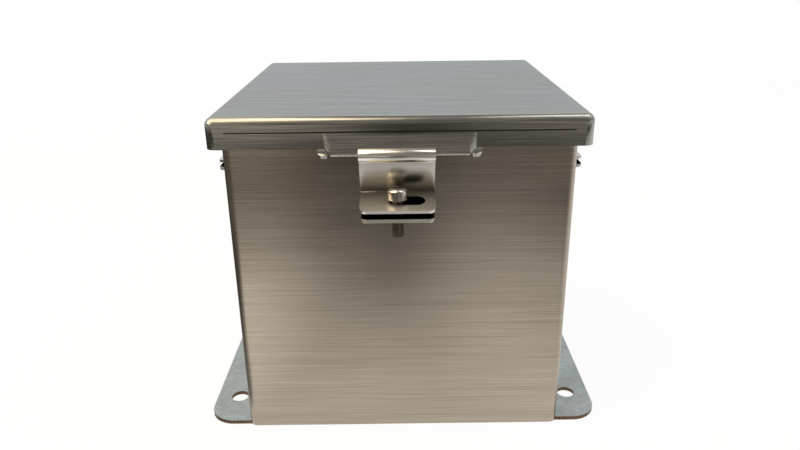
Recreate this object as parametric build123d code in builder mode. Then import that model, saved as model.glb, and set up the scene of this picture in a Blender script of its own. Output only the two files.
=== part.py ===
from build123d import *
import math
import os

# Electrical enclosure of folded stainless sheet, with a lift-off cover held by a screw clamp on each side.
# Millimetres. The origin is the middle of the mounting face, Z points away from the wall that carries the
# box, and the front faces minus Y.

# Box: four walls of one wrapped sheet, with the rim turned inwards at the top
box_side = 152.4
box_sheet = 1.5
box_corner_radius = 4.0
rim_bend_radius = 2.5
rim_return = 10.0
rim_corner_radius = 3.0

# Back plate: lies between the front and rear walls and reaches past the side walls as ears
plate_thickness = 2.0
ear_reach = 20.8
plate_corner_radius = 12.5
mount_hole_diameter = 8.7
mount_hole_reach = 9.2
mount_hole_inset = 20.7

# Lid: a pan with a leaning lip on each side, and a turned-out hook at each end of the lip
lid_top_height = 155.5
lid_sheet = 1.5
lid_overhang = 5.0
lid_flange_depth = 13.3
lid_corner_radius = 4.0
lid_top_radius = 3.6
seam_height = 7.0
seam_width = 0.6
seam_depth = 0.7
seam_inset = 14.2
lip_root_rise = 6.4
lip_length = 58.0
lip_reach = 6.6
lip_bend_radius = 4.0
lip_lean_angle = 16.0
lip_end_length = 2.8
lip_end_lean_angle = 2.0
hook_gap = 0.3
hook_width = 5.2
hook_drop = 3.2
hook_turn_angle = 68.0
hook_corner_radius = 2.2

# Gasket between the lid and the rim
gasket_thickness = 3.0
gasket_width = 8.0
gasket_inset = 1.2
gasket_gap = 0.05

# Clamp: one folded strip, curled over the lip, waisted at the wall, with a slotted shelf
clamp_sheet = 1.4
clamp_width = 32.0
clamp_offset = 1.3
curl_radius = 2.15
curl_lead = 0.9
curl_start_angle = 102.0
neck_radius = 1.7
web_lean_angle = 20.0
waist_gap = 0.35
waist_radius = 1.6
shelf_tilt_angle = 11.0
shelf_reach = 17.8
shelf_corner_radius = 3.0
slot_width = 7.2
slot_travel = 8.1

# Clamp screw: slotted cheese head
screw_diameter = 5.0
screw_length = 17.2
screw_tip_chamfer = 0.6
screw_reach = 9.75
head_diameter = 8.6
head_height = 5.1
head_bevel_height = 0.9
head_bevel_width = 1.5
drive_slot_width = 1.2
drive_slot_depth = 1.9
head_gap = 0.05

# Bracket: folded strip on the wall below the clamp, with the tapped hole
bracket_sheet = 1.6
bracket_width = 30.6
bracket_drop = 4.6
bracket_reach = 18.0
bracket_leg = 4.6
bracket_bend_radius = 1.8
bracket_corner_radius = 2.5
thread_clearance = 0.15

# Studs on the inside of the back plate
panel_stud_diameter = 4.8
panel_stud_length = 12.0
panel_stud_inset = 17.7
ground_stud_diameter = 6.0
ground_stud_length = 18.0
ground_stud_inset_x = 36.7
ground_stud_inset_y = 17.7
ground_washer_diameter = 12.5
ground_washer_thickness = 1.2
ground_nut_flats = 10.0
ground_nut_height = 5.0
stud_clearance = 0.1

# How far a cut runs past what it cuts
cut_overrun = 3.0

# Sizes that follow from those above
box_half = box_side / 2
inner_side = box_side - 2 * box_sheet
lid_side = box_side + 2 * lid_overhang
lid_underside = lid_top_height - lid_sheet
flange_bottom = lid_top_height - lid_flange_depth
box_height = lid_underside - gasket_thickness - gasket_gap
flange_middle = lid_overhang - lid_sheet / 2

# Lip: bends out of the flange at its root, then leans straight to its edge
lip_lean = math.radians(lip_lean_angle)
lip_root_height = flange_bottom + lip_root_rise
lip_bend_reach = lip_bend_radius * (1 - math.cos(lip_lean))
lip_lean_reach = lip_reach - flange_middle - lip_bend_reach
lip_fall = lip_bend_radius * math.sin(lip_lean) + lip_lean_reach / math.tan(lip_lean)
lip_edge_height = lip_root_height - lip_fall
lip_half_length = lip_length / 2 + lip_end_length
hook_place = lip_length / 2 + hook_gap + hook_width / 2
hook_turn_radius = hook_drop / math.sin(math.radians(hook_turn_angle))

side_turns = {"front": 0, "right": 90, "rear": 180, "left": 270}


def section_plane(turn):
    """Upright plane across one wall: x is outwards from the wall, y is up."""
    outward = Vector(0, -1, 0).rotate(Axis.Z, turn)
    along = Vector(-1, 0, 0).rotate(Axis.Z, turn)
    return Plane(origin=outward * box_half, x_dir=outward, z_dir=along)


def outward_axis(turn):
    """Level axis from the middle of the box out through one wall."""
    return Axis((0, 0, 0), Vector(0, -1, 0).rotate(Axis.Z, turn))


def level_plane(turn, height):
    """Level plane at one wall: x runs along the wall, y is inwards."""
    outward = Vector(0, -1, 0).rotate(Axis.Z, turn)
    along = Vector(1, 0, 0).rotate(Axis.Z, turn)
    return Plane(origin=outward * box_half + Vector(0, 0, height), x_dir=along, z_dir=(0, 0, 1))


def lip_line(lean_angle, edge_height):
    """Middle line of the lip's sheet, from its root in the flange to an edge at that height."""
    bend = JernArc((flange_middle, lip_root_height), (0, -1), lip_bend_radius, lean_angle)
    lean_length = (edge_height - (bend @ 1).Y) / (bend % 1).Y
    Line(bend @ 1, bend @ 1 + (bend % 1) * lean_length)


os.makedirs("parts", exist_ok=True)

# Box shell
with BuildPart() as box_shell:
    with BuildSketch():
        RectangleRounded(box_side, box_side, box_corner_radius)
    extrude(amount=box_height)
    fillet(box_shell.faces().sort_by(Axis.Z)[-1].edges(), radius=rim_bend_radius)
    offset(amount=-box_sheet, openings=box_shell.faces().sort_by(Axis.Z)[0])
    # mouth inside the turned-in rim
    mouth_side = inner_side - 2 * rim_return
    with BuildSketch(Plane.XY.offset(box_height)):
        RectangleRounded(mouth_side, mouth_side, rim_corner_radius)
    extrude(amount=-box_sheet - cut_overrun, mode=Mode.SUBTRACT)
    # the side walls stand on the back plate
    with BuildSketch():
        Rectangle(box_side + 2 * cut_overrun, inner_side)
    extrude(amount=plate_thickness, mode=Mode.SUBTRACT)
box_shell.part.label = "box_shell"
export_step(box_shell.part, "parts/box_shell.step")

# Back plate with its ears and mounting holes
with BuildPart() as back_plate:
    with BuildSketch():
        RectangleRounded(box_side + 2 * ear_reach, inner_side, plate_corner_radius)
        mount_spacing_x = box_side + 2 * mount_hole_reach
        mount_spacing_y = inner_side - 2 * mount_hole_inset
        with GridLocations(mount_spacing_x, mount_spacing_y, 2, 2):
            Circle(mount_hole_diameter / 2, mode=Mode.SUBTRACT)
    extrude(amount=plate_thickness)
back_plate.part.label = "back_plate"
export_step(back_plate.part, "parts/back_plate.step")

# Lid
with BuildPart() as lid:
    with BuildSketch(Plane.XY.offset(flange_bottom)):
        RectangleRounded(lid_side, lid_side, lid_corner_radius)
    extrude(amount=lid_flange_depth)
    fillet(lid.faces().sort_by(Axis.Z)[-1].edges(), radius=lid_top_radius)
    offset(amount=-lid_sheet, openings=lid.faces().sort_by(Axis.Z)[0])
    for turn in side_turns.values():
        section = section_plane(turn)
        # seam line along the flange
        with BuildSketch(section):
            with Locations((lid_overhang, flange_bottom + seam_height)):
                Rectangle(2 * seam_depth, seam_width)
        extrude(amount=lid_side / 2 - seam_inset, both=True, mode=Mode.SUBTRACT)
        # the flange gives way to the lip
        with BuildSketch(section):
            with Locations((flange_middle, flange_bottom)):
                Rectangle(2 * lid_sheet, 2 * lip_root_rise)
        extrude(amount=lip_half_length, both=True, mode=Mode.SUBTRACT)
        with BuildSketch(section):
            with BuildLine():
                lip_line(lip_lean_angle, lip_edge_height)
            trace(line_width=lid_sheet)
        extrude(amount=lip_length / 2, both=True)
        # each end of the lip is drawn back into the flange
        for end in (-1, 1):
            with BuildSketch(section.offset(end * lip_length / 2)):
                with BuildLine():
                    lip_line(lip_lean_angle, lip_edge_height)
                trace(line_width=lid_sheet)
            with BuildSketch(section.offset(end * lip_half_length)):
                with BuildLine():
                    lip_line(lip_end_lean_angle, flange_bottom)
                trace(line_width=lid_sheet)
            loft(ruled=True)
        # hooks turned out of the flange's lower edge
        for place in (-hook_place, hook_place):
            with BuildSketch(section.offset(place)):
                with BuildLine():
                    JernArc((flange_middle, flange_bottom), (0, -1), hook_turn_radius, hook_turn_angle)
                trace(line_width=lid_sheet)
            extrude(amount=hook_width / 2, both=True)
    # the corners of the hooks, one layer of edges above their lowest edges
    fillet(lid.edges().group_by(Axis.Z)[1], radius=hook_corner_radius)
lid.part.label = "lid"
export_step(lid.part, "parts/lid.step")

# Gasket
with BuildPart() as lid_gasket:
    gasket_side = box_side - 2 * gasket_inset
    gasket_mouth = gasket_side - 2 * gasket_width
    with BuildSketch(Plane.XY.offset(lid_underside - gasket_thickness)):
        RectangleRounded(gasket_side, gasket_side, box_corner_radius)
        RectangleRounded(gasket_mouth, gasket_mouth, rim_corner_radius, mode=Mode.SUBTRACT)
    extrude(amount=gasket_thickness)
lid_gasket.part.label = "lid_gasket"
export_step(lid_gasket.part, "parts/lid_gasket.step")

# Clamps
curl_centre = (lip_reach + curl_lead, lip_edge_height)
web_end_reach = waist_gap + clamp_sheet / 2 + waist_radius * (1 - math.cos(math.radians(web_lean_angle)))
for side, turn in side_turns.items():
    with BuildPart() as clamp:
        with BuildSketch(section_plane(turn).offset(clamp_offset)):
            with BuildLine():
                curl = CenterArc(curl_centre, curl_radius, curl_start_angle, -90 - curl_start_angle)
                neck = JernArc(curl @ 1, curl % 1, neck_radius, 90 - web_lean_angle)
                web_share = (web_end_reach - (neck @ 1).X) / (neck % 1).X
                web = Line(neck @ 1, neck @ 1 + (neck % 1) * web_share)
                waist = JernArc(web @ 1, web % 1, waist_radius, 90 + web_lean_angle - shelf_tilt_angle)
                shelf_run = (shelf_reach - (waist @ 1).X) / (waist % 1).X
                shelf = Line(waist @ 1, waist @ 1 + (waist % 1) * shelf_run)
            trace(line_width=clamp_sheet)
        extrude(amount=clamp_width / 2, both=True)
        shelf_end = clamp.faces().sort_by(outward_axis(turn))[-1]
        fillet(shelf_end.edges().sort_by(SortBy.LENGTH)[:2], radius=shelf_corner_radius)
        shelf_slope = math.tan(math.radians(shelf_tilt_angle))
        shelf_height = (shelf @ 1).Y + (shelf_reach - screw_reach) * shelf_slope
        with BuildSketch(level_plane(turn, shelf_height)):
            with Locations((slot_travel / 2 - clamp_offset, -screw_reach)):
                SlotCenterToCenter(slot_travel, slot_width)
        extrude(amount=cut_overrun, both=True, mode=Mode.SUBTRACT)
    clamp.part.label = f"{side}_clamp"
    export_step(clamp.part, f"parts/{side}_clamp.step")

# Clamp screws, upright, each seated on the high side of its shelf
seat_rise = head_diameter / 2 * shelf_slope + clamp_sheet / 2 / math.cos(math.radians(shelf_tilt_angle))
head_seat_height = shelf_height + seat_rise + head_gap
head_top_height = head_seat_height + head_height
screw_tip_height = head_seat_height - screw_length
shank_edge = screw_reach + screw_diameter / 2
head_edge = screw_reach + head_diameter / 2
for side, turn in side_turns.items():
    screw_section = section_plane(turn).offset(clamp_offset)
    screw_axis = Axis(screw_section.from_local_coords((screw_reach, 0, 0)), (0, 0, 1))
    with BuildPart() as clamp_screw:
        with BuildSketch(screw_section):
            with BuildLine():
                Polyline(
                    (screw_reach, head_top_height),
                    (head_edge - head_bevel_width, head_top_height),
                    (head_edge, head_top_height - head_bevel_height),
                    (head_edge, head_seat_height),
                    (shank_edge, head_seat_height),
                    (shank_edge, screw_tip_height + screw_tip_chamfer),
                    (shank_edge - screw_tip_chamfer, screw_tip_height),
                    (screw_reach, screw_tip_height),
                    close=True,
                )
            make_face()
        revolve(axis=screw_axis)
        with BuildSketch(level_plane(turn, head_top_height)):
            with Locations((-clamp_offset, -screw_reach)):
                Rectangle(head_diameter + 2 * cut_overrun, drive_slot_width)
        extrude(amount=-drive_slot_depth, mode=Mode.SUBTRACT)
    clamp_screw.part.label = f"{side}_clamp_screw"
    export_step(clamp_screw.part, f"parts/{side}_clamp_screw.step")

# Brackets
bracket_top_height = shelf_height - bracket_drop
bracket_middle = bracket_top_height - bracket_sheet / 2
for side, turn in side_turns.items():
    with BuildPart() as bracket:
        with BuildSketch(section_plane(turn).offset(clamp_offset)):
            with BuildLine():
                FilletPolyline(
                    (bracket_sheet / 2, bracket_top_height + bracket_leg),
                    (bracket_sheet / 2, bracket_middle),
                    (bracket_reach, bracket_middle),
                    radius=bracket_bend_radius,
                )
            trace(line_width=bracket_sheet)
        extrude(amount=bracket_width / 2, both=True)
        bracket_end = bracket.faces().sort_by(outward_axis(turn))[-1]
        fillet(bracket_end.edges().sort_by(SortBy.LENGTH)[:2], radius=bracket_corner_radius)
        with BuildSketch(level_plane(turn, bracket_middle)):
            with Locations((-clamp_offset, -screw_reach)):
                Circle(screw_diameter / 2 + thread_clearance)
        extrude(amount=bracket_sheet, both=True, mode=Mode.SUBTRACT)
    bracket.part.label = f"{side}_bracket"
    export_step(bracket.part, f"parts/{side}_bracket.step")

# Panel studs
with BuildPart() as panel_studs:
    with BuildSketch(Plane.XY.offset(plate_thickness)):
        panel_stud_spacing = inner_side - 2 * panel_stud_inset
        with GridLocations(panel_stud_spacing, panel_stud_spacing, 2, 2):
            Circle(panel_stud_diameter / 2)
    extrude(amount=panel_stud_length)
panel_studs.part.label = "panel_studs"
export_step(panel_studs.part, "parts/panel_studs.step")

# Ground stud with its washer and nut
ground_place = (ground_stud_inset_x - inner_side / 2, inner_side / 2 - ground_stud_inset_y)
with BuildPart() as ground_stud:
    with BuildSketch(Plane.XY.offset(plate_thickness)):
        with Locations(ground_place):
            Circle(ground_stud_diameter / 2)
    extrude(amount=ground_stud_length)
ground_stud.part.label = "ground_stud"
export_step(ground_stud.part, "parts/ground_stud.step")

ground_bore_radius = ground_stud_diameter / 2 + stud_clearance
with BuildPart() as ground_washer:
    with BuildSketch(Plane.XY.offset(plate_thickness)):
        with Locations(ground_place):
            Circle(ground_washer_diameter / 2)
            Circle(ground_bore_radius, mode=Mode.SUBTRACT)
    extrude(amount=ground_washer_thickness)
ground_washer.part.label = "ground_washer"
export_step(ground_washer.part, "parts/ground_washer.step")

with BuildPart() as ground_nut:
    with BuildSketch(Plane.XY.offset(plate_thickness + ground_washer_thickness)):
        with Locations(ground_place):
            RegularPolygon(ground_nut_flats / 2, 6, major_radius=False)
            Circle(ground_bore_radius, mode=Mode.SUBTRACT)
    extrude(amount=ground_nut_height)
ground_nut.part.label = "ground_nut"
export_step(ground_nut.part, "parts/ground_nut.step")
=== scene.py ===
import math

import bmesh
import bpy
from mathutils import Matrix, Vector


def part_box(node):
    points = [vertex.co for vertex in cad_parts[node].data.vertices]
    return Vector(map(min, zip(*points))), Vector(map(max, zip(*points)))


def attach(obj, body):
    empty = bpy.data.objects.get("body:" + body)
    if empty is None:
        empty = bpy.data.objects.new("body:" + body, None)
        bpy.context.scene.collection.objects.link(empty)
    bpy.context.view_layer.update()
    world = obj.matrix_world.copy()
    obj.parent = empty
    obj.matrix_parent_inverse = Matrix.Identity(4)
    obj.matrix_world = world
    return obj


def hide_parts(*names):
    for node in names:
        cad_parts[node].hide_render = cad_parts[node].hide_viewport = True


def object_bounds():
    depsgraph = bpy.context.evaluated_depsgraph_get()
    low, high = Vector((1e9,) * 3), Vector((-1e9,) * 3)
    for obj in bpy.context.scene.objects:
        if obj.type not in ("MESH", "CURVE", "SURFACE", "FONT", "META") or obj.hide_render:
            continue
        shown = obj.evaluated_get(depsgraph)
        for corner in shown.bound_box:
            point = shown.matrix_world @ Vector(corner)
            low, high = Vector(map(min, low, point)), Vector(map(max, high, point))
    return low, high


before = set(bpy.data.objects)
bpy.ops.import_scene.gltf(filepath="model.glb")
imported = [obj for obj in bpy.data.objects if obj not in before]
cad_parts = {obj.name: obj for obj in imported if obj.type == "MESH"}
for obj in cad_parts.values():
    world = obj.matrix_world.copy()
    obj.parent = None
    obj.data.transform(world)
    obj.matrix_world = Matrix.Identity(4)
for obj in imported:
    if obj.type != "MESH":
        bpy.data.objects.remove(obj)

# The box as packed, before anything is added to it
cad_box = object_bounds()

MM = 0.001
SIDES = ("front", "right", "rear", "left")

# Camera, as fitted to the photograph: 800 by 450 pixels
PHOTO_WIDTH_PX = 800
FOCAL_PX = 691.8
SENSOR_MM = 36.0
CAMERA_PLACE_MM = (-0.4, -361.1, 216.6)
CAMERA_PITCH_DEG = 21.23
CAMERA_ROLL_DEG = -0.72
CAMERA_CLIP_MM = 10.0

# Soft boxes above the enclosure
LEFT_LAMP_PLACE_MM = (-725.0, -280.0, 1080.0)
LEFT_LAMP_SIZE_MM = (1000.0, 1600.0)
LEFT_LAMP_WATTS = 17.0
RIGHT_LAMP_PLACE_MM = (420.0, -120.0, 950.0)
RIGHT_LAMP_SIZE_MM = (260.0, 500.0)
RIGHT_LAMP_WATTS = 1.3

# Room that the steel mirrors, by direction: where its front turns into its back, and the front's top
ROOM_FRONT_Y = -0.35
ROOM_BACK_Y = 0.1
ROOM_TOP_Z = 0.25

# Floor: pale, and fading towards the camera in what the steel mirrors of it
FLOOR_HALF_WIDTH_MM = 900.0
FLOOR_FRONT_MM = -600.0
FLOOR_BACK_MM = 900.0
FLOOR_FADE_START_MM = -100.0
FLOOR_FADE_END_MM = -400.0
FLOOR_GLOW_SHARE = 0.95

# Shade and light on the floor: middle and half size of each patch, and what it leaves or adds
SHADE_MIDDLE_MM = (0.0, -290.0, 0.0)
SHADE_HALF_SIZE_MM = (55.0, 110.0, 1000.0)
SHADE_LEAVES = 0.3
WINDOW_MIDDLE_MM = (-107.0, -200.0, 0.0)
WINDOW_HALF_SIZE_MM = (60.0, 130.0, 1000.0)
WINDOW_ADDS = 0.95
LAMP_MIDDLE_MM = (80.0, -300.0, 0.0)
LAMP_HALF_SIZE_MM = (90.0, 260.0, 1000.0)
LAMP_ADDS = 0.36

# Floor to the left: where it turns dark far out, and where it does so beside the box
FAR_LEFT_LIT_MM = -150.0
FAR_LEFT_DARK_MM = -220.0
FAR_LEFT_LEAVES = 0.05
BESIDE_LIT_X_MM = -85.0
BESIDE_DARK_X_MM = -100.0
BESIDE_LIT_Y_MM = -150.0
BESIDE_DARK_Y_MM = -90.0
BESIDE_LEAVES = 0.2

# A noise texture's values lie mostly between these
NOISE_LOW = 0.3
NOISE_MIDDLE = 0.5
NOISE_HIGH = 0.7

# Brushed steel: how far its gloss spreads across the hairlines, from 0 to 1, and the turn that lays it there
BRUSH_SPREAD = 0.7
BRUSH_TURN = 0.25

# Grain of the walls along x, y and z. Real hairlines are under 0.1 mm wide: here and on the lid they are
# drawn as coarse as it takes for them to show
WALL_HAIRLINE_MM = (45.0, 45.0, 0.33)
WALL_HAIRLINE_DEPTH_MM = 0.04
WALL_BAND_MM = (140.0, 140.0, 5.0)
WALL_BAND_SHARE = 0.2
WALL_SMEAR_MM = (45.0, 45.0, 30.0)

# Grain of the lid
LID_HAIRLINE_MM = (35.0, 0.4, 0.4)
LID_HAIRLINE_DEPTH_MM = 0.03
LID_CLOUD_MM = (60.0, 60.0, 60.0)

# Seam groove along the lid's flange, whose shade is painted as a dark line
SEAM_HEIGHT_MM = 149.2
SEAM_HALF_WIDTH_MM = 0.3
SEAM_HALF_LENGTH_MM = 73.0

# Grain of the back plate, and how far up a surface has to point to be one of its faces
PLATE_MOTTLE_MM = (3.0, 3.0, 3.0)
PLATE_MOTTLE_DEPTH_MM = 0.02
PLATE_CLOUD_MM = (25.0, 25.0, 25.0)
PLATE_CUT_LINE_MM = (0.5, 0.5, 6.0)
PLATE_FACE_FROM = 0.45
PLATE_FACE_FULL = 0.75

# Grain of the clamps, how far up a surface points that is level or a wall, and the finish of the level ones
CLAMP_DRAWING_MM = (0.9, 0.9, 25.0)
CLAMP_DRAWING_DEPTH_MM = 0.008
CLAMP_CLOUD_MM = (14.0, 14.0, 14.0)
CLAMP_LEVEL_FROM = 0.9
CLAMP_LEVEL_FULL = 0.96
CLAMP_WALL_MOST = 0.7
CLAMP_SATIN_ROUGHNESS = 0.43

# Upright part of a clamp: where its bow starts and ends, how deep it is, and the fold at its waist, into
# which shade is painted
BOW_LOW_MM = 127.0
BOW_HIGH_MM = 136.5
BOW_DEPTH_MM = 0.8
FOLD_LOW_MM = 122.3
FOLD_HIGH_MM = 130.5

# Slot in a clamp's shelf: how far from the middle of the box, and how far along the wall
SHELF_SLOT_NEAR_MM = 82.0
SHELF_SLOT_FAR_MM = 91.0
SHELF_SLOT_END_MM = 14.0

# Grain of the brackets. The upright part lies nearer to the middle of the box than its reach
BRACKET_STAIN_MM = (5.0, 5.0, 5.0)
BRACKET_STAIN_DEPTH_MM = 0.02
BRACKET_TOP_FROM = 0.6
BRACKET_TOP_FULL = 0.9
BRACKET_UPRIGHT_REACH_MM = 80.0

# Grain of the screws, the noise value at which grime gives way to bare steel, and grain of the foam
GRIME_MM = (1.2, 1.2, 1.2)
GRIME_EDGE = 0.55
TOOL_RING_MM = (4.0, 4.0, 0.15)
TOOL_RING_DEPTH_MM = 0.01
THREAD_DUST_MM = (0.7, 0.7, 0.7)
THREAD_DUST_DEPTH_MM = 0.02
FOAM_CELL_MM = (0.6, 0.6, 0.6)
FOAM_CELL_DEPTH_MM = 0.15

# Clamp screw, as in the CAD, with its thread
SCREW_RADIUS_MM = 2.5
HEAD_RADIUS_MM = 4.3
HEAD_HEIGHT_MM = 5.1
HEAD_BEVEL_HEIGHT_MM = 0.9
HEAD_BEVEL_WIDTH_MM = 1.5
HEAD_EDGE_MM = 0.2
DRIVING_SLOT_WIDTH_MM = 1.2
DRIVING_SLOT_DEPTH_MM = 1.9
THREAD_DEPTH_MM = 0.42
THREAD_PITCH_MM = 0.8
THREAD_NECK_MM = 1.0
POINTS_PER_TURN = 48
STEPS_PER_PITCH = 6

# Lower edge of the lid's lip: how far from the middle of the box and how high the bead along it runs
LIP_EDGE_REACH_MM = 83.2
LIP_EDGE_HEIGHT_MM = 139.85
LIP_EDGE_RADIUS_MM = 0.42
LIP_HALF_LENGTH_MM = 29.0
EDGE_POINTS = 16

# Deburred sheet edges
SHEET_EDGE_MM = 0.22
SHEET_EDGE_STEPS = 2
WELD_DISTANCE_MM = 0.002
SHARP_EDGE_DEG = 32.0


def linear(hex_colour):
    """sRGB hex to the linear colour that a shader takes."""
    channels = [int(hex_colour[i:i + 2], 16) / 255 for i in (1, 3, 5)]
    return [c / 12.92 if c <= 0.04045 else ((c + 0.055) / 1.055) ** 2.4 for c in channels] + [1.0]


def grain(size_mm):
    """Mapping scale at which a noise of scale 1 has that grain along x, y and z."""
    return [1 / (length * MM) for length in size_mm]


def add(tree, kind, inputs=None, stops=(), **settings):
    """One node with its settings. Inputs are values or sockets that feed it, stops are ramp colours."""
    made = tree.nodes.new(kind)
    for name, value in settings.items():
        setattr(made, name, value)
    for name, value in (inputs or {}).items():
        if isinstance(value, bpy.types.NodeSocket):
            tree.links.new(value, made.inputs[name])
        else:
            made.inputs[name].default_value = value
    for i, (place, hex_colour) in enumerate(stops):
        elements = made.color_ramp.elements
        element = elements[i] if i < 2 else elements.new(place)
        element.position = place
        element.color = linear(hex_colour)
    return made


def start_material(name):
    """An empty material, its tree, and the object coordinates that its patterns are placed by."""
    material = bpy.data.materials.new(name)
    material.use_nodes = True
    tree = material.node_tree
    tree.nodes.clear()
    place = add(tree, "ShaderNodeTexCoord").outputs["Object"]
    return material, tree, place


def from_middle(tree, place):
    """How far a point is from the middle of the box in x and in y, and how high it is."""
    at = add(tree, "ShaderNodeSeparateXYZ", {"Vector": place})
    x_off = add(tree, "ShaderNodeMath", {0: at.outputs["X"]}, operation="ABSOLUTE")
    y_off = add(tree, "ShaderNodeMath", {0: at.outputs["Y"]}, operation="ABSOLUTE")
    return x_off.outputs[0], y_off.outputs[0], at.outputs["Z"]


def facing_up(tree):
    """How far up a surface points: 1 on a level top, 0 on a wall, -1 on an underside."""
    normal = add(tree, "ShaderNodeTexCoord").outputs["Normal"]
    return add(tree, "ShaderNodeSeparateXYZ", {"Vector": normal}).outputs["Z"]


def brushed_wall_steel():
    """Stainless sheet, belt-brushed along the walls: level hairlines, warm grey, and faint hand smears."""
    material, tree, place = start_material("brushed_wall_steel")
    fine = add(tree, "ShaderNodeMapping", {"Vector": place, "Scale": grain(WALL_HAIRLINE_MM)})
    hairline = add(tree, "ShaderNodeTexNoise", {"Vector": fine.outputs[0], "Scale": 1.0, "Detail": 4.0})
    broad = add(tree, "ShaderNodeMapping", {"Vector": place, "Scale": grain(WALL_BAND_MM)})
    band = add(tree, "ShaderNodeTexNoise", {"Vector": broad.outputs[0], "Scale": 1.0, "Detail": 2.0})
    wide = add(tree, "ShaderNodeMapping", {"Vector": place, "Scale": grain(WALL_SMEAR_MM)})
    smear = add(tree, "ShaderNodeTexNoise", {"Vector": wide.outputs[0], "Scale": 1.0, "Detail": 1.0})
    brushed = add(tree, "ShaderNodeMix", {
        "Factor": WALL_BAND_SHARE, "A": hairline.outputs["Fac"], "B": band.outputs["Fac"]},
        data_type="FLOAT")
    colour = add(tree, "ShaderNodeValToRGB", {"Fac": brushed.outputs[0]}, (
        (NOISE_LOW, "#9A8F80"), (NOISE_MIDDLE, "#A99D8E"), (NOISE_HIGH, "#B7AB9C")))
    roughness = add(tree, "ShaderNodeMapRange", {
        "Value": smear.outputs["Fac"], "From Min": NOISE_LOW, "From Max": NOISE_HIGH,
        "To Min": 0.21, "To Max": 0.27})
    relief = add(tree, "ShaderNodeBump", {
        "Height": hairline.outputs["Fac"], "Distance": WALL_HAIRLINE_DEPTH_MM * MM, "Strength": 0.5})
    around = add(tree, "ShaderNodeTangent", direction_type="RADIAL", axis="Z")
    shader = add(tree, "ShaderNodeBsdfPrincipled", {
        "Base Color": colour.outputs["Color"], "Metallic": 1.0, "Roughness": roughness.outputs[0],
        "Anisotropic": BRUSH_SPREAD, "Anisotropic Rotation": BRUSH_TURN, "Tangent": around.outputs[0],
        "Normal": relief.outputs[0]})
    add(tree, "ShaderNodeOutputMaterial", {"Surface": shader.outputs[0]})
    return material


def dusty_seam(tree, place):
    """Where shade is painted on the lid as a dark line: along the seam, which stops short of the corners."""
    x_off, y_off, height = from_middle(tree, place)
    in_seam = add(tree, "ShaderNodeMath", {
        0: height, 1: SEAM_HEIGHT_MM * MM, 2: SEAM_HALF_WIDTH_MM * MM}, operation="COMPARE")
    along = add(tree, "ShaderNodeMath", {0: x_off, 1: y_off}, operation="MINIMUM")
    off_corner = add(tree, "ShaderNodeMath", {
        0: along.outputs[0], 1: SEAM_HALF_LENGTH_MM * MM}, operation="LESS_THAN")
    dusty = add(tree, "ShaderNodeMath", {
        0: in_seam.outputs[0], 1: off_corner.outputs[0]}, operation="MULTIPLY")
    return dusty.outputs[0]


def satin_lid_steel():
    """Stainless sheet with a fine satin finish: cooler grey than the walls, hairlines from side to side."""
    material, tree, place = start_material("satin_lid_steel")
    fine = add(tree, "ShaderNodeMapping", {"Vector": place, "Scale": grain(LID_HAIRLINE_MM)})
    hairline = add(tree, "ShaderNodeTexNoise", {"Vector": fine.outputs[0], "Scale": 1.0, "Detail": 3.0})
    wide = add(tree, "ShaderNodeMapping", {"Vector": place, "Scale": grain(LID_CLOUD_MM)})
    cloud = add(tree, "ShaderNodeTexNoise", {"Vector": wide.outputs[0], "Scale": 1.0, "Detail": 1.0})
    steel = add(tree, "ShaderNodeValToRGB", {"Fac": hairline.outputs["Fac"]}, (
        (NOISE_LOW, "#8D8983"), (NOISE_MIDDLE, "#A5A19A"), (NOISE_HIGH, "#BDB9B2")))
    # painted shade: the seam's gap is coloured as a dark line
    colour = add(tree, "ShaderNodeMix", {
        "Factor": dusty_seam(tree, place), "A": steel.outputs["Color"], "B": linear("#514B45")},
        data_type="RGBA")
    roughness = add(tree, "ShaderNodeMapRange", {
        "Value": cloud.outputs["Fac"], "From Min": NOISE_LOW, "From Max": NOISE_HIGH,
        "To Min": 0.2, "To Max": 0.26})
    relief = add(tree, "ShaderNodeBump", {
        "Height": hairline.outputs["Fac"], "Distance": LID_HAIRLINE_DEPTH_MM * MM, "Strength": 0.4})
    around = add(tree, "ShaderNodeTangent", direction_type="RADIAL", axis="Y")
    shader = add(tree, "ShaderNodeBsdfPrincipled", {
        "Base Color": colour.outputs["Result"], "Metallic": 1.0, "Roughness": roughness.outputs[0],
        "Anisotropic": BRUSH_SPREAD, "Anisotropic Rotation": BRUSH_TURN, "Tangent": around.outputs[0],
        "Normal": relief.outputs[0]})
    add(tree, "ShaderNodeOutputMaterial", {"Surface": shader.outputs[0]})
    return material


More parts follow.
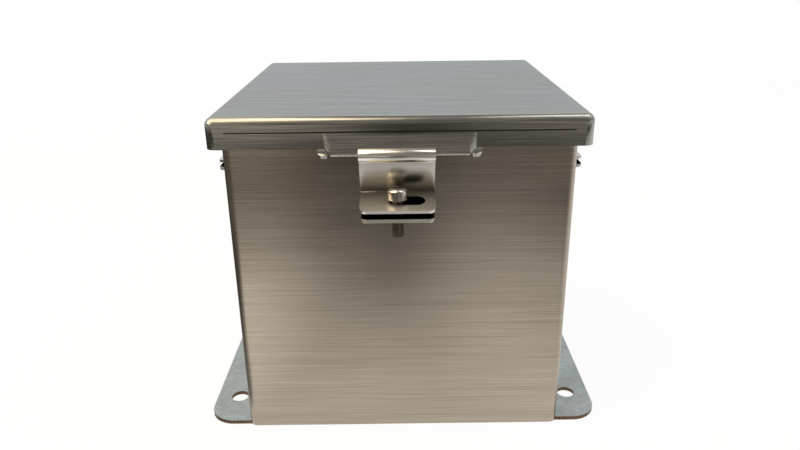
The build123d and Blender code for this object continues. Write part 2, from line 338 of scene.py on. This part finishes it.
def mill_plate_steel():
    """Hot-rolled and pickled stainless plate: dull bluish grey faces, brown cut edges and hole walls."""
    material, tree, place = start_material("mill_plate_steel")
    spots = add(tree, "ShaderNodeMapping", {"Vector": place, "Scale": grain(PLATE_MOTTLE_MM)})
    mottle = add(tree, "ShaderNodeTexNoise", {"Vector": spots.outputs[0], "Scale": 1.0, "Detail": 4.0})
    wide = add(tree, "ShaderNodeMapping", {"Vector": place, "Scale": grain(PLATE_CLOUD_MM)})
    cloud = add(tree, "ShaderNodeTexNoise", {"Vector": wide.outputs[0], "Scale": 1.0, "Detail": 1.0})
    upright = add(tree, "ShaderNodeMapping", {"Vector": place, "Scale": grain(PLATE_CUT_LINE_MM)})
    cut_line = add(tree, "ShaderNodeTexNoise", {"Vector": upright.outputs[0], "Scale": 1.0, "Detail": 2.0})
    face = add(tree, "ShaderNodeValToRGB", {"Fac": mottle.outputs["Fac"]}, (
        (NOISE_LOW, "#A3A8A7"), (NOISE_HIGH, "#B4BAB8")))
    cut = add(tree, "ShaderNodeValToRGB", {"Fac": cut_line.outputs["Fac"]}, (
        (NOISE_LOW, "#4A392B"), (NOISE_HIGH, "#7C6450")))
    level = add(tree, "ShaderNodeMath", {0: facing_up(tree)}, operation="ABSOLUTE")
    on_face = add(tree, "ShaderNodeMapRange", {
        "Value": level.outputs[0], "From Min": PLATE_FACE_FROM, "From Max": PLATE_FACE_FULL})
    colour = add(tree, "ShaderNodeMix", {
        "Factor": on_face.outputs[0], "A": cut.outputs["Color"], "B": face.outputs["Color"]},
        data_type="RGBA")
    roughness = add(tree, "ShaderNodeMapRange", {
        "Value": cloud.outputs["Fac"], "From Min": NOISE_LOW, "From Max": NOISE_HIGH,
        "To Min": 0.36, "To Max": 0.5})
    relief = add(tree, "ShaderNodeBump", {
        "Height": mottle.outputs["Fac"], "Distance": PLATE_MOTTLE_DEPTH_MM * MM, "Strength": 0.3})
    shader = add(tree, "ShaderNodeBsdfPrincipled", {
        "Base Color": colour.outputs["Result"], "Metallic": 1.0, "Roughness": roughness.outputs[0],
        "Normal": relief.outputs[0]})
    add(tree, "ShaderNodeOutputMaterial", {"Surface": shader.outputs[0]})
    return material


def bowed_web(tree, height):
    """Below its neck a clamp's web is bowed a little upright, and mirrors the floor past the shelf there."""
    rise = add(tree, "ShaderNodeMapRange", {
        "Value": height, "From Min": BOW_LOW_MM * MM, "From Max": BOW_HIGH_MM * MM})
    square = add(tree, "ShaderNodeMath", {0: rise.outputs[0], 1: 2.0}, operation="POWER")
    fall = add(tree, "ShaderNodeMath", {0: 1.0, 1: square.outputs[0]}, operation="SUBTRACT")
    bow = add(tree, "ShaderNodeBump", {
        "Height": fall.outputs[0], "Distance": BOW_DEPTH_MM * MM, "Strength": 1.0})
    return bow.outputs[0]


def dull_fold(tree, height):
    """Where shade is painted dark on a clamp: into the fold at its waist, just above the shelf."""
    into_fold = add(tree, "ShaderNodeMapRange", {
        "Value": height, "From Min": FOLD_HIGH_MM * MM, "From Max": FOLD_LOW_MM * MM})
    above_shelf = add(tree, "ShaderNodeMath", {0: height, 1: FOLD_LOW_MM * MM}, operation="GREATER_THAN")
    folded = add(tree, "ShaderNodeMath", {
        0: into_fold.outputs[0], 1: above_shelf.outputs[0]}, operation="MULTIPLY")
    return folded.outputs[0]


def greasy_slot(tree, x_off, y_off, height, up):
    """The walls of the slot punched through a clamp's shelf, where shade is painted black."""
    reach = add(tree, "ShaderNodeMath", {0: x_off, 1: y_off}, operation="MAXIMUM")
    along = add(tree, "ShaderNodeMath", {0: x_off, 1: y_off}, operation="MINIMUM")
    in_reach = add(tree, "ShaderNodeMath", {
        0: reach.outputs[0], 1: (SHELF_SLOT_NEAR_MM + SHELF_SLOT_FAR_MM) / 2 * MM,
        2: (SHELF_SLOT_FAR_MM - SHELF_SLOT_NEAR_MM) / 2 * MM}, operation="COMPARE")
    in_length = add(tree, "ShaderNodeMath", {
        0: along.outputs[0], 1: SHELF_SLOT_END_MM * MM}, operation="LESS_THAN")
    on_wall = add(tree, "ShaderNodeMath", {0: up, 1: 0.0, 2: CLAMP_WALL_MOST}, operation="COMPARE")
    below_fold = add(tree, "ShaderNodeMath", {0: height, 1: FOLD_LOW_MM * MM}, operation="LESS_THAN")
    in_slot = add(tree, "ShaderNodeMath", {
        0: in_reach.outputs[0], 1: in_length.outputs[0]}, operation="MULTIPLY")
    low_wall = add(tree, "ShaderNodeMath", {
        0: on_wall.outputs[0], 1: below_fold.outputs[0]}, operation="MULTIPLY")
    greasy = add(tree, "ShaderNodeMath", {
        0: in_slot.outputs[0], 1: low_wall.outputs[0]}, operation="MULTIPLY")
    return greasy.outputs[0]


def polished_clamp_steel():
    """Stainless strip, half polished before folding: soft mirror with faint drawing lines across it."""
    material, tree, place = start_material("polished_clamp_steel")
    x_off, y_off, height = from_middle(tree, place)
    up = facing_up(tree)
    upright = add(tree, "ShaderNodeMapping", {"Vector": place, "Scale": grain(CLAMP_DRAWING_MM)})
    drawing = add(tree, "ShaderNodeTexNoise", {"Vector": upright.outputs[0], "Scale": 1.0, "Detail": 2.0})
    wide = add(tree, "ShaderNodeMapping", {"Vector": place, "Scale": grain(CLAMP_CLOUD_MM)})
    cloud = add(tree, "ShaderNodeTexNoise", {"Vector": wide.outputs[0], "Scale": 1.0, "Detail": 1.0})
    bright = add(tree, "ShaderNodeValToRGB", {"Fac": cloud.outputs["Fac"]}, (
        (NOISE_LOW, "#D4CEC6"), (NOISE_HIGH, "#DFDAD2")))
    # painted shade darkens the strip into the fold at its waist
    strip = add(tree, "ShaderNodeMix", {
        "Factor": dull_fold(tree, height), "A": bright.outputs["Color"], "B": linear("#4B453E")},
        data_type="RGBA")
    # painted shade: the slot's walls are black, and lose the gloss that bare steel has at a low angle
    greasy = greasy_slot(tree, x_off, y_off, height, up)
    colour = add(tree, "ShaderNodeMix", {
        "Factor": greasy, "A": strip.outputs["Result"], "B": linear("#14120F")}, data_type="RGBA")
    gloss = add(tree, "ShaderNodeMix", {
        "Factor": greasy, "A": linear("#FFFFFF"), "B": linear("#1C1B1A")}, data_type="RGBA")
    # faces that lie level have been rubbed to a satin finish
    polish = add(tree, "ShaderNodeMapRange", {
        "Value": cloud.outputs["Fac"], "From Min": NOISE_LOW, "From Max": NOISE_HIGH,
        "To Min": 0.21, "To Max": 0.29})
    satin = add(tree, "ShaderNodeMapRange", {
        "Value": up, "From Min": CLAMP_LEVEL_FROM, "From Max": CLAMP_LEVEL_FULL})
    roughness = add(tree, "ShaderNodeMix", {
        "Factor": satin.outputs[0], "A": polish.outputs[0], "B": CLAMP_SATIN_ROUGHNESS},
        data_type="FLOAT")
    relief = add(tree, "ShaderNodeBump", {
        "Height": drawing.outputs["Fac"], "Distance": CLAMP_DRAWING_DEPTH_MM * MM, "Strength": 0.4,
        "Normal": bowed_web(tree, height)})
    shader = add(tree, "ShaderNodeBsdfPrincipled", {
        "Base Color": colour.outputs["Result"], "Metallic": 1.0, "Roughness": roughness.outputs[0],
        "Specular Tint": gloss.outputs["Result"], "Normal": relief.outputs[0]})
    add(tree, "ShaderNodeOutputMaterial", {"Surface": shader.outputs[0]})
    return material


def oiled_bracket_steel():
    """Stainless strip like the clamps, with shade painted dark inside its fold."""
    material, tree, place = start_material("oiled_bracket_steel")
    wide = add(tree, "ShaderNodeMapping", {"Vector": place, "Scale": grain(BRACKET_STAIN_MM)})
    stain = add(tree, "ShaderNodeTexNoise", {"Vector": wide.outputs[0], "Scale": 1.0, "Detail": 3.0})
    clean = add(tree, "ShaderNodeValToRGB", {"Fac": stain.outputs["Fac"]}, (
        (NOISE_LOW, "#B9B3AA"), (NOISE_HIGH, "#CDC7BE")))
    oily = add(tree, "ShaderNodeValToRGB", {"Fac": stain.outputs["Fac"]}, (
        (NOISE_LOW, "#12110F"), (NOISE_HIGH, "#242220")))
    # inside the fold, where shade is painted, are the top of its foot and the upright part
    on_top = add(tree, "ShaderNodeMapRange", {
        "Value": facing_up(tree), "From Min": BRACKET_TOP_FROM, "From Max": BRACKET_TOP_FULL})
    x_off, y_off, _ = from_middle(tree, place)
    reach = add(tree, "ShaderNodeMath", {0: x_off, 1: y_off}, operation="MAXIMUM")
    upright = add(tree, "ShaderNodeMath", {
        0: reach.outputs[0], 1: BRACKET_UPRIGHT_REACH_MM * MM}, operation="LESS_THAN")
    inside = add(tree, "ShaderNodeMath", {
        0: on_top.outputs[0], 1: upright.outputs[0]}, operation="MAXIMUM")
    colour = add(tree, "ShaderNodeMix", {
        "Factor": inside.outputs[0], "A": clean.outputs["Color"], "B": oily.outputs["Color"]},
        data_type="RGBA")
    # painted shade: inside the fold the gloss that bare steel has at a low angle is taken away
    gloss = add(tree, "ShaderNodeMix", {
        "Factor": inside.outputs[0], "A": linear("#FFFFFF"), "B": linear("#1C1B1A")}, data_type="RGBA")
    relief = add(tree, "ShaderNodeBump", {
        "Height": stain.outputs["Fac"], "Distance": BRACKET_STAIN_DEPTH_MM * MM, "Strength": 0.3})
    shader = add(tree, "ShaderNodeBsdfPrincipled", {
        "Base Color": colour.outputs["Result"], "Metallic": 1.0, "Roughness": 0.5,
        "Specular Tint": gloss.outputs["Result"], "Normal": relief.outputs[0]})
    add(tree, "ShaderNodeOutputMaterial", {"Surface": shader.outputs[0]})
    return material


def turned_screw_steel():
    """Turned stainless: bright, with tool rings and a little grime."""
    material, tree, place = start_material("turned_screw_steel")
    spots = add(tree, "ShaderNodeMapping", {"Vector": place, "Scale": grain(GRIME_MM)})
    grime = add(tree, "ShaderNodeTexNoise", {"Vector": spots.outputs[0], "Scale": 1.0, "Detail": 3.0})
    turned = add(tree, "ShaderNodeMapping", {"Vector": place, "Scale": grain(TOOL_RING_MM)})
    ring = add(tree, "ShaderNodeTexNoise", {"Vector": turned.outputs[0], "Scale": 1.0, "Detail": 2.0})
    colour = add(tree, "ShaderNodeValToRGB", {"Fac": grime.outputs["Fac"]}, (
        (NOISE_LOW, "#A79C8E"), (GRIME_EDGE, "#CFC7BC"), (NOISE_HIGH, "#D8D1C7")))
    roughness = add(tree, "ShaderNodeMapRange", {
        "Value": grime.outputs["Fac"], "From Min": NOISE_LOW, "From Max": NOISE_HIGH,
        "To Min": 0.26, "To Max": 0.14})
    relief = add(tree, "ShaderNodeBump", {
        "Height": ring.outputs["Fac"], "Distance": TOOL_RING_DEPTH_MM * MM, "Strength": 0.4})
    shader = add(tree, "ShaderNodeBsdfPrincipled", {
        "Base Color": colour.outputs["Color"], "Metallic": 1.0, "Roughness": roughness.outputs[0],
        "Normal": relief.outputs[0]})
    add(tree, "ShaderNodeOutputMaterial", {"Surface": shader.outputs[0]})
    return material


def rolled_thread_steel():
    """Rolled thread: duller and darker than the head, in dusty blotches."""
    material, tree, place = start_material("rolled_thread_steel")
    spots = add(tree, "ShaderNodeMapping", {"Vector": place, "Scale": grain(THREAD_DUST_MM)})
    dust = add(tree, "ShaderNodeTexNoise", {"Vector": spots.outputs[0], "Scale": 1.0, "Detail": 3.0})
    colour = add(tree, "ShaderNodeValToRGB", {"Fac": dust.outputs["Fac"]}, (
        (NOISE_LOW, "#4C463F"), (NOISE_HIGH, "#8B8378")))
    roughness = add(tree, "ShaderNodeMapRange", {
        "Value": dust.outputs["Fac"], "From Min": NOISE_LOW, "From Max": NOISE_HIGH,
        "To Min": 0.45, "To Max": 0.3})
    relief = add(tree, "ShaderNodeBump", {
        "Height": dust.outputs["Fac"], "Distance": THREAD_DUST_DEPTH_MM * MM, "Strength": 0.4})
    shader = add(tree, "ShaderNodeBsdfPrincipled", {
        "Base Color": colour.outputs["Color"], "Metallic": 1.0, "Roughness": roughness.outputs[0],
        "Normal": relief.outputs[0]})
    add(tree, "ShaderNodeOutputMaterial", {"Surface": shader.outputs[0]})
    return material


def foam_rubber():
    """Closed-cell neoprene foam: matt black with fine cells."""
    material, tree, place = start_material("foam_rubber")
    fine = add(tree, "ShaderNodeMapping", {"Vector": place, "Scale": grain(FOAM_CELL_MM)})
    cell = add(tree, "ShaderNodeTexNoise", {"Vector": fine.outputs[0], "Scale": 1.0, "Detail": 2.0})
    colour = add(tree, "ShaderNodeValToRGB", {"Fac": cell.outputs["Fac"]}, (
        (NOISE_LOW, "#161616"), (NOISE_HIGH, "#2A2A29")))
    roughness = add(tree, "ShaderNodeMapRange", {
        "Value": cell.outputs["Fac"], "From Min": NOISE_LOW, "From Max": NOISE_HIGH,
        "To Min": 0.8, "To Max": 0.95})
    relief = add(tree, "ShaderNodeBump", {
        "Height": cell.outputs["Fac"], "Distance": FOAM_CELL_DEPTH_MM * MM, "Strength": 0.6})
    shader = add(tree, "ShaderNodeBsdfPrincipled", {
        "Base Color": colour.outputs["Color"], "Roughness": roughness.outputs[0],
        "Normal": relief.outputs[0]})
    add(tree, "ShaderNodeOutputMaterial", {"Surface": shader.outputs[0]})
    return material


def dress(node, material, edge_mm=0.0):
    """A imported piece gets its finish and, where its edges were deburred, a small round on them."""
    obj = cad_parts[node]
    obj.data.materials.clear()
    obj.data.materials.append(material)
    if edge_mm:
        weld = obj.modifiers.new("joined_faces", "WELD")
        weld.merge_threshold = WELD_DISTANCE_MM * MM
        edge = obj.modifiers.new("deburred_edges", "BEVEL")
        edge.width = edge_mm * MM
        edge.segments = SHEET_EDGE_STEPS
        edge.limit_method = "ANGLE"
        edge.angle_limit = math.radians(SHARP_EDGE_DEG)
        edge.harden_normals = True


def mesh_object(name, shape, material):
    """A bmesh becomes an object with one material."""
    mesh = bpy.data.meshes.new(name)
    bmesh.ops.recalc_face_normals(shape, faces=shape.faces)
    shape.to_mesh(mesh)
    shape.free()
    obj = bpy.data.objects.new(name, mesh)
    bpy.context.collection.objects.link(obj)
    mesh.materials.append(material)
    return obj


def thread_rings(length):
    """Radii and heights of a V thread from the tip up to that length: one ring of points for each step."""
    steps = round(length / THREAD_PITCH_MM * STEPS_PER_PITCH)
    for step in range(steps + 1):
        height = length * step / steps
        lead_in = min(1.0, height / THREAD_PITCH_MM)
        ring = []
        for point in range(POINTS_PER_TURN):
            phase = (height / THREAD_PITCH_MM - point / POINTS_PER_TURN) % 1.0
            depth = THREAD_DEPTH_MM * (1 - abs(2 * phase - 1))
            ring.append(SCREW_RADIUS_MM - depth * lead_in - THREAD_DEPTH_MM * (1 - lead_in))
        yield ring, height


def head_rings(length, seat):
    """Radii and heights above the thread: neck, seat, head with its edge rounds, bevel and flat top."""
    neck_radius = SCREW_RADIUS_MM - THREAD_DEPTH_MM
    bevel_radius = HEAD_RADIUS_MM - HEAD_BEVEL_WIDTH_MM
    bevel_height = length - HEAD_BEVEL_HEIGHT_MM
    for radius, height in (
            (neck_radius, seat - THREAD_NECK_MM / 2),
            (neck_radius, seat),
            (HEAD_RADIUS_MM - HEAD_EDGE_MM, seat),
            (HEAD_RADIUS_MM, seat + HEAD_EDGE_MM),
            (HEAD_RADIUS_MM, bevel_height - HEAD_EDGE_MM),
            (HEAD_RADIUS_MM - HEAD_EDGE_MM, bevel_height + HEAD_EDGE_MM / 2),
            (bevel_radius + HEAD_EDGE_MM, length - HEAD_EDGE_MM / 2),
            (bevel_radius - HEAD_EDGE_MM, length)):
        yield [radius] * POINTS_PER_TURN, height


def screw_blank(length):
    """A screw before its slot is cut, tip at the origin, in millimetres, with two materials."""
    seat = length - HEAD_HEIGHT_MM
    turn = 2 * math.pi / POINTS_PER_TURN
    shape = bmesh.new()
    loops = []
    for radii, height in [*thread_rings(seat - THREAD_NECK_MM), *head_rings(length, seat)]:
        loops.append([shape.verts.new((radius * math.cos(i * turn), radius * math.sin(i * turn), height))
                      for i, radius in enumerate(radii)])
    for lower, upper in zip(loops, loops[1:]):
        for i in range(POINTS_PER_TURN):
            j = (i + 1) % POINTS_PER_TURN
            face = shape.faces.new((lower[i], lower[j], upper[j], upper[i]))
            face.material_index = int(upper[i].co.z < seat)
    shape.faces.new(loops[0]).material_index = 1
    shape.faces.new(loops[-1])
    return shape


def make_screw(side, material, thread_material):
    """Cheese-head screw with its thread in place of the plain one, turned about the same axis."""
    low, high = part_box(f"{side}_clamp_screw")
    length = (high[2] - low[2]) / MM
    plain = mesh_object(f"{side}_screw_blank", screw_blank(length), material)
    plain.data.materials.append(thread_material)
    # the driving slot, cut along the wall by a bar twice as long as the head is wide
    cut = bmesh.new()
    bmesh.ops.create_cube(cut, size=1.0)
    slot_size = (4 * HEAD_RADIUS_MM, DRIVING_SLOT_WIDTH_MM, 2 * DRIVING_SLOT_DEPTH_MM)
    bmesh.ops.scale(cut, vec=slot_size, verts=cut.verts)
    bmesh.ops.translate(cut, vec=(0, 0, length), verts=cut.verts)
    cutter = mesh_object(f"{side}_screw_cutter", cut, material)
    slot = plain.modifiers.new("driving_slot", "BOOLEAN")
    slot.object = cutter
    slot.operation = "DIFFERENCE"
    slot.solver = "EXACT"
    evaluated = plain.evaluated_get(bpy.context.evaluated_depsgraph_get())
    mesh = bpy.data.meshes.new_from_object(evaluated)
    bpy.data.objects.remove(plain)
    bpy.data.objects.remove(cutter)
    along_wall = Matrix.Rotation(math.radians(0 if side in ("front", "rear") else 90), 4, "Z")
    middle = ((low[0] + high[0]) / 2, (low[1] + high[1]) / 2, low[2])
    mesh.transform(Matrix.Translation(middle) @ along_wall @ Matrix.Scale(MM, 4))
    mesh.shade_smooth()
    mesh.set_sharp_from_angle(angle=math.radians(SHARP_EDGE_DEG))
    screw = bpy.data.objects.new(f"{side}_threaded_screw", mesh)
    bpy.context.collection.objects.link(screw)
    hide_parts(f"{side}_clamp_screw")
    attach(screw, f"{side}_screw_body")


def make_lip_edge(side, material):
    """The lip's lower edge, sheared and rubbed round: a fine bright bead along it."""
    shape = bmesh.new()
    turn = math.radians(90 * SIDES.index(side))
    for end in (-1, 1):
        for point in range(EDGE_POINTS):
            angle = 2 * math.pi * point / EDGE_POINTS
            reach = LIP_EDGE_REACH_MM + LIP_EDGE_RADIUS_MM * math.cos(angle)
            height = LIP_EDGE_HEIGHT_MM + LIP_EDGE_RADIUS_MM * math.sin(angle)
            shape.verts.new((end * LIP_HALF_LENGTH_MM, -reach, height))
    shape.verts.ensure_lookup_table()
    ends = [[shape.verts[i + first] for i in range(EDGE_POINTS)] for first in (0, EDGE_POINTS)]
    for i in range(EDGE_POINTS):
        j = (i + 1) % EDGE_POINTS
        shape.faces.new((ends[0][i], ends[0][j], ends[1][j], ends[1][i]))
    for end in ends:
        shape.faces.new(end)
    shape.transform(Matrix.Rotation(turn, 4, "Z") @ Matrix.Scale(MM, 4))
    bead = mesh_object(f"{side}_lip_edge", shape, material)
    bead.data.shade_smooth()
    bead.data.set_sharp_from_angle(angle=math.radians(SHARP_EDGE_DEG))
    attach(bead, "cover")


def floor_light(tree, place):
    """How bright the floor is in the steel. It fades towards the camera, whose shade falls on it between the
    light of a window and of a lamp, and it is dark far out on the left and beside the box there."""
    at = add(tree, "ShaderNodeSeparateXYZ", {"Vector": place})
    patches = []
    for middle_mm, half_size_mm in (
            (SHADE_MIDDLE_MM, SHADE_HALF_SIZE_MM),
            (WINDOW_MIDDLE_MM, WINDOW_HALF_SIZE_MM),
            (LAMP_MIDDLE_MM, LAMP_HALF_SIZE_MM)):
        spot = add(tree, "ShaderNodeMapping", {
            "Vector": place, "Location": Vector(middle_mm) * MM, "Scale": Vector(half_size_mm) * MM},
            vector_type="TEXTURE")
        patch = add(tree, "ShaderNodeTexGradient", {"Vector": spot.outputs[0]}, gradient_type="SPHERICAL")
        patches.append(patch.outputs["Fac"])
    shade, window, lamp = patches
    fade = add(tree, "ShaderNodeMapRange", {
        "Value": at.outputs["Y"], "From Min": FLOOR_FADE_END_MM * MM, "From Max": FLOOR_FADE_START_MM * MM})
    unshaded = add(tree, "ShaderNodeMapRange", {"Value": shade, "To Min": 1.0, "To Max": SHADE_LEAVES})
    shaded = add(tree, "ShaderNodeMath", {0: fade.outputs[0], 1: unshaded.outputs[0]}, operation="MULTIPLY")
    window_lit = add(tree, "ShaderNodeMath", {
        0: window, 1: WINDOW_ADDS, 2: shaded.outputs[0]}, operation="MULTIPLY_ADD")
    both_lit = add(tree, "ShaderNodeMath", {
        0: lamp, 1: LAMP_ADDS, 2: window_lit.outputs[0]}, operation="MULTIPLY_ADD")
    far_left = add(tree, "ShaderNodeMapRange", {
        "Value": at.outputs["X"], "From Min": FAR_LEFT_DARK_MM * MM, "From Max": FAR_LEFT_LIT_MM * MM,
        "To Min": FAR_LEFT_LEAVES, "To Max": 1.0})
    ahead = add(tree, "ShaderNodeMath", {
        0: both_lit.outputs[0], 1: far_left.outputs[0]}, operation="MULTIPLY")
    past_side = add(tree, "ShaderNodeMapRange", {
        "Value": at.outputs["X"], "From Min": BESIDE_LIT_X_MM * MM, "From Max": BESIDE_DARK_X_MM * MM})
    past_front = add(tree, "ShaderNodeMapRange", {
        "Value": at.outputs["Y"], "From Min": BESIDE_LIT_Y_MM * MM, "From Max": BESIDE_DARK_Y_MM * MM})
    beside = add(tree, "ShaderNodeMath", {
        0: past_side.outputs[0], 1: past_front.outputs[0]}, operation="MULTIPLY")
    open_floor = add(tree, "ShaderNodeMapRange", {
        "Value": beside.outputs[0], "To Min": 1.0, "To Max": BESIDE_LEAVES})
    light = add(tree, "ShaderNodeMath", {
        0: ahead.outputs[0], 1: open_floor.outputs[0]}, operation="MULTIPLY")
    return light.outputs[0]


def floor_paper():
    """Pale matt paper: near white to the camera, unevenly lit in the steel, with the shadow of the box."""
    material, tree, place = start_material("floor_paper")
    rays = add(tree, "ShaderNodeLightPath")
    mirrored = add(tree, "ShaderNodeMath", {
        0: rays.outputs["Is Glossy Ray"], 1: rays.outputs["Is Transmission Ray"]}, operation="MAXIMUM")
    seen = add(tree, "ShaderNodeMath", {
        0: rays.outputs["Is Camera Ray"], 1: mirrored.outputs[0]}, operation="MAXIMUM")
    share = add(tree, "ShaderNodeMath", {0: seen.outputs[0], 1: FLOOR_GLOW_SHARE}, operation="MULTIPLY")
    strength = add(tree, "ShaderNodeMix", {
        "Factor": rays.outputs["Is Camera Ray"], "A": floor_light(tree, place), "B": 1.0}, data_type="FLOAT")
    paper = add(tree, "ShaderNodeBsdfDiffuse", {"Color": linear("#F4F4F2")})
    glow = add(tree, "ShaderNodeEmission", {"Color": linear("#FFFFFF"), "Strength": strength.outputs[0]})
    mixed = add(tree, "ShaderNodeMixShader", {0: share.outputs[0], 1: paper.outputs[0], 2: glow.outputs[0]})
    add(tree, "ShaderNodeOutputMaterial", {"Surface": mixed.outputs[0]})
    return material


def make_floor():
    """A level sheet of paper under the box, which belongs to the picture and not to the part."""
    shape = bmesh.new()
    corners = ((-1, FLOOR_FRONT_MM), (1, FLOOR_FRONT_MM), (1, FLOOR_BACK_MM), (-1, FLOOR_BACK_MM))
    shape.faces.new([shape.verts.new((side * FLOOR_HALF_WIDTH_MM * MM, y * MM, 0)) for side, y in corners])
    floor = mesh_object("floor", shape, floor_paper())


def make_world():
    """White to the camera. In the steel: pale and white behind, and in front a room, pale at the sides and
    darkest in the middle, where the camera stands."""
    world = bpy.data.worlds.new("studio")
    bpy.context.scene.world = world
    world.use_nodes = True
    tree = world.node_tree
    tree.nodes.clear()
    rays = add(tree, "ShaderNodeLightPath")
    direction = add(tree, "ShaderNodeSeparateXYZ", {
        "Vector": add(tree, "ShaderNodeTexCoord").outputs["Generated"]})
    # the front from left to right, under a dim ceiling
    across = add(tree, "ShaderNodeMapRange", {"Value": direction.outputs["X"], "From Min": -1.0})
    front = add(tree, "ShaderNodeValToRGB", {"Fac": across.outputs[0]}, (
        (0.0, "#C4BFB6"), (0.28, "#C2BDB3"), (0.4, "#DED8CE"), (0.46, "#5C5955"), (0.51, "#353331"),
        (0.55, "#55524F"), (0.61, "#A09B95"), (0.75, "#B0ADA8"), (1.0, "#FFFFFF")))
    aloft = add(tree, "ShaderNodeMapRange", {"Value": direction.outputs["Z"], "From Max": ROOM_TOP_Z})
    ahead = add(tree, "ShaderNodeMix", {
        "Factor": aloft.outputs[0], "A": front.outputs["Color"], "B": linear("#8A8782")}, data_type="RGBA")
    # the back from the floor upwards
    back = add(tree, "ShaderNodeValToRGB", {"Fac": direction.outputs["Z"]}, (
        (0.0, "#BFCAD2"), (0.25, "#C8D2D9"), (0.5, "#FFFFFF"), (0.72, "#FFFFFF"), (0.88, "#8E9092")))
    behind = add(tree, "ShaderNodeMapRange", {
        "Value": direction.outputs["Y"], "From Min": ROOM_FRONT_Y, "From Max": ROOM_BACK_Y})
    room = add(tree, "ShaderNodeMix", {
        "Factor": behind.outputs[0], "A": ahead.outputs["Result"], "B": back.outputs["Color"]},
        data_type="RGBA")
    seen = add(tree, "ShaderNodeMix", {
        "Factor": rays.outputs["Is Camera Ray"], "A": room.outputs["Result"], "B": linear("#FFFFFF")},
        data_type="RGBA")
    background = add(tree, "ShaderNodeBackground", {"Color": seen.outputs["Result"], "Strength": 1.0})
    add(tree, "ShaderNodeOutputWorld", {"Surface": background.outputs[0]})


def make_lamp(name, place_mm, size_mm, watts, hex_colour):
    """A soft box that faces the middle of the enclosure."""
    data = bpy.data.lights.new(name, "AREA")
    data.shape = "RECTANGLE"
    data.size = size_mm[0] * MM
    data.size_y = size_mm[1] * MM
    data.energy = watts
    data.color = linear(hex_colour)[:3]
    lamp = bpy.data.objects.new(name, data)
    bpy.context.collection.objects.link(lamp)
    place = Vector(place_mm) * MM
    aim = Vector((0, 0, (cad_box[0][2] + cad_box[1][2]) / 2))
    turn = (aim - place).to_track_quat("-Z", "Y").to_matrix().to_4x4()
    lamp.matrix_world = Matrix.Translation(place) @ turn


def make_camera():
    """The camera of the photograph."""
    data = bpy.data.cameras.new("camera")
    data.sensor_width = SENSOR_MM
    data.lens = FOCAL_PX * SENSOR_MM / PHOTO_WIDTH_PX
    data.clip_start = CAMERA_CLIP_MM * MM
    camera = bpy.data.objects.new("camera", data)
    bpy.context.collection.objects.link(camera)
    camera.matrix_world = (
        Matrix.Translation(Vector(CAMERA_PLACE_MM) * MM)
        @ Matrix.Rotation(math.radians(90 - CAMERA_PITCH_DEG), 4, "X")
        @ Matrix.Rotation(math.radians(CAMERA_ROLL_DEG), 4, "Z")
    )
    bpy.context.scene.camera = camera


make_camera()
make_world()
make_floor()
make_lamp("high_left_softbox", LEFT_LAMP_PLACE_MM, LEFT_LAMP_SIZE_MM, LEFT_LAMP_WATTS, "#FFF1D2")
make_lamp("high_right_softbox", RIGHT_LAMP_PLACE_MM, RIGHT_LAMP_SIZE_MM, RIGHT_LAMP_WATTS, "#FFFFFF")

clamp_steel = polished_clamp_steel()
bracket_steel = oiled_bracket_steel()
screw_steel = turned_screw_steel()
thread_steel = rolled_thread_steel()

dress("box_shell", brushed_wall_steel())
dress("back_plate", mill_plate_steel())
dress("lid", satin_lid_steel(), SHEET_EDGE_MM)
dress("lid_gasket", foam_rubber())
for node in ("panel_studs", "ground_stud", "ground_washer", "ground_nut"):
    dress(node, screw_steel)
for side in SIDES:
    dress(f"{side}_clamp", clamp_steel, SHEET_EDGE_MM)
    dress(f"{side}_bracket", bracket_steel, SHEET_EDGE_MM)
    make_screw(side, screw_steel, thread_steel)
    make_lip_edge(side, clamp_steel)

bpy.context.scene.view_settings.view_transform = "Standard"
